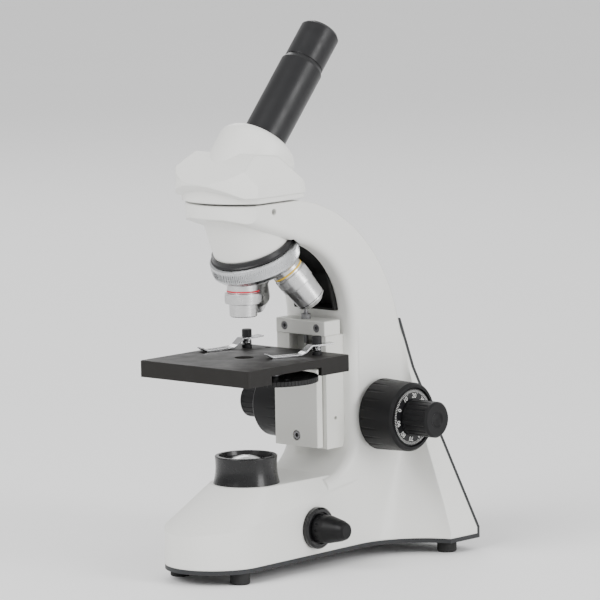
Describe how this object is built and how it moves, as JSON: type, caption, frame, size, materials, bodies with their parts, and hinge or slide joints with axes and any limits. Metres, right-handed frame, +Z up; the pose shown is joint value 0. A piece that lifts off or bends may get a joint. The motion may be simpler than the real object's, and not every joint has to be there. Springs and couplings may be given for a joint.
{
  "type": "microscope",
  "caption": "Monocular student microscope with a turning head, tilted nosepiece, focusing stage with clips and a dimmable base lamp.",
  "frame": {"origin": "on the table, under the middle of the bounding box", "axes": "+X towards the dimmer side, +Y towards the back of the stand, +Z up"},
  "size_m": [0.1662, 0.2214, 0.3591],
  "materials": {
    "cream_paint": "satin powder coat",
    "guide_paint": "satin paint",
    "black_sheet": "satin black",
    "tube_black": "satin black",
    "stage_black": "fine matte black",
    "black_metal": "matte black",
    "rubber": "matte",
    "screw_steel": "turned",
    "shaft_steel": "ground",
    "bush_brass": "turned",
    "chrome": "polished",
    "turret_metal": "satin chrome",
    "objective_metal": "satin chrome",
    "knob_black": "fine grain",
    "dial_grey": "satin",
    "eyepiece_black": "satin",
    "gloss_black": "gloss",
    "disc_plastic": "satin",
    "pot_shell": "satin",
    "board": "satin",
    "led": "gloss",
    "lens_glass": "clear",
    "collector_glass": "frosted"
  },
  "bodies": {
    "stand": {"stand": "cream_paint", "bottom_plate": "black_sheet", "bottom_plate_screws": "screw_steel", "rubber_feet": "rubber", "rear_cover": "black_sheet", "rear_cover_screws": "screw_steel", "power_jack": "gloss_black", "recess_liner": "black_sheet", "illuminator_collar": "gloss_black", "collector_lens": "collector_glass", "lamp_board": "board", "lamp_led": "led", "dimmer_bezel": "gloss_black", "dimmer_potentiometer": "pot_shell", "guide_block": "guide_paint", "crossbar": "guide_paint", "crossbar_screws": "screw_steel", "stop_screw": "screw_steel", "stop_nut": "screw_steel", "shaft_bushes": "bush_brass", "nosepiece_base": "tube_black", "nosepiece_pivot": "screw_steel"},
    "head": {"head_housing": "cream_paint", "head_dovetail": "black_metal", "prism": "lens_glass", "prism_holder": "black_metal", "eyepiece_tube": "tube_black"},
    "eyepiece": {"eyepiece_shell": "eyepiece_black", "eyepiece_eye_lens": "lens_glass", "eyepiece_field_lens": "lens_glass"},
    "turret": {"nosepiece_turret": "turret_metal", "objective_4x": "objective_metal", "objective_4x_lens": "lens_glass", "objective_10x": "objective_metal", "objective_10x_lens": "lens_glass", "objective_40x": "objective_metal", "objective_40x_lens": "lens_glass"},
    "carriage": {"carriage_plate": "guide_paint", "carriage_screw": "screw_steel", "carriage_slide": "black_metal", "rack": "shaft_steel", "fine_guide_pins": "shaft_steel"},
    "coarse_drive": {"coarse_shaft": "shaft_steel", "pinion": "shaft_steel", "coarse_knob_left": "knob_black", "coarse_knob_right": "knob_black"},
    "fine_drive": {"fine_shaft": "shaft_steel", "fine_knob_left": "knob_black", "fine_knob_right": "knob_black", "focus_dials": "dial_grey"},
    "stage": {"stage_plate": "stage_black", "stage_bracket": "stage_black", "diaphragm_pivot": "screw_steel", "clip_posts": "black_metal", "clip_springs": "chrome"},
    "diaphragm": {"disc_diaphragm": "disc_plastic"},
    "left_clip": {"clip_left": "chrome"},
    "right_clip": {"clip_right": "chrome"},
    "dimmer": {"dimmer_knob": "knob_black", "dimmer_shaft": "shaft_steel"}
  },
  "joints": [
    {"name": "head_turn", "type": "hinge", "parent": "stand", "child": "head", "pos_m": [0, -0.04655, 0.2459], "axis": [0, 0, 1], "continuous": true},
    {"name": "eyepiece_pull", "type": "slide", "parent": "head", "child": "eyepiece", "axis": [0, 0.6626, 0.749], "range_m": [0, 0.018]},
    {"name": "turret_turn", "type": "hinge", "parent": "stand", "child": "turret", "pos_m": [0, -0.04655, 0.2365], "axis": [0, 0.3827, -0.9239], "continuous": true},
    {"name": "coarse_focus", "type": "slide", "parent": "stand", "child": "carriage", "axis": [0, 0, 1], "range_m": [-0.016, 0.003]},
    {"name": "coarse_knob", "type": "hinge", "parent": "stand", "child": "coarse_drive", "pos_m": [0, 0.05065, 0.0961], "axis": [1, 0, 0], "range_deg": [-29, 153]},
    {"name": "fine_focus", "type": "slide", "parent": "carriage", "child": "stage", "axis": [0, 0, 1], "range_m": [-0.0005, 0.0005]},
    {"name": "fine_knob", "type": "hinge", "parent": "stand", "child": "fine_drive", "pos_m": [0, 0.05065, 0.0961], "axis": [1, 0, 0], "range_deg": [-905, 905]},
    {"name": "diaphragm_turn", "type": "hinge", "parent": "stage", "child": "diaphragm", "pos_m": [0.02, -0.04055, 0.1293], "axis": [0, 0, 1], "continuous": true},
    {"name": "left_clip_swing", "type": "hinge", "parent": "stage", "child": "left_clip", "pos_m": [-0.031, -0.00955, 0.1504], "axis": [0, 0, 1], "range_deg": [-50, 30]},
    {"name": "right_clip_swing", "type": "hinge", "parent": "stage", "child": "right_clip", "pos_m": [0.031, -0.00955, 0.1504], "axis": [0, 0, 1], "range_deg": [-30, 60]},
    {"name": "dimmer_turn", "type": "hinge", "parent": "stand", "child": "dimmer", "pos_m": [0.036, -0.01505, 0.0282], "axis": [1, 0, 0], "range_deg": [-270, 0]}
  ],
  "couplings": [
    {"joint": "coarse_knob", "follows": "coarse_focus", "rad_per_m": -166.67},
    {"joint": "fine_knob", "follows": "fine_focus", "rad_per_m": 31400}
  ]
}
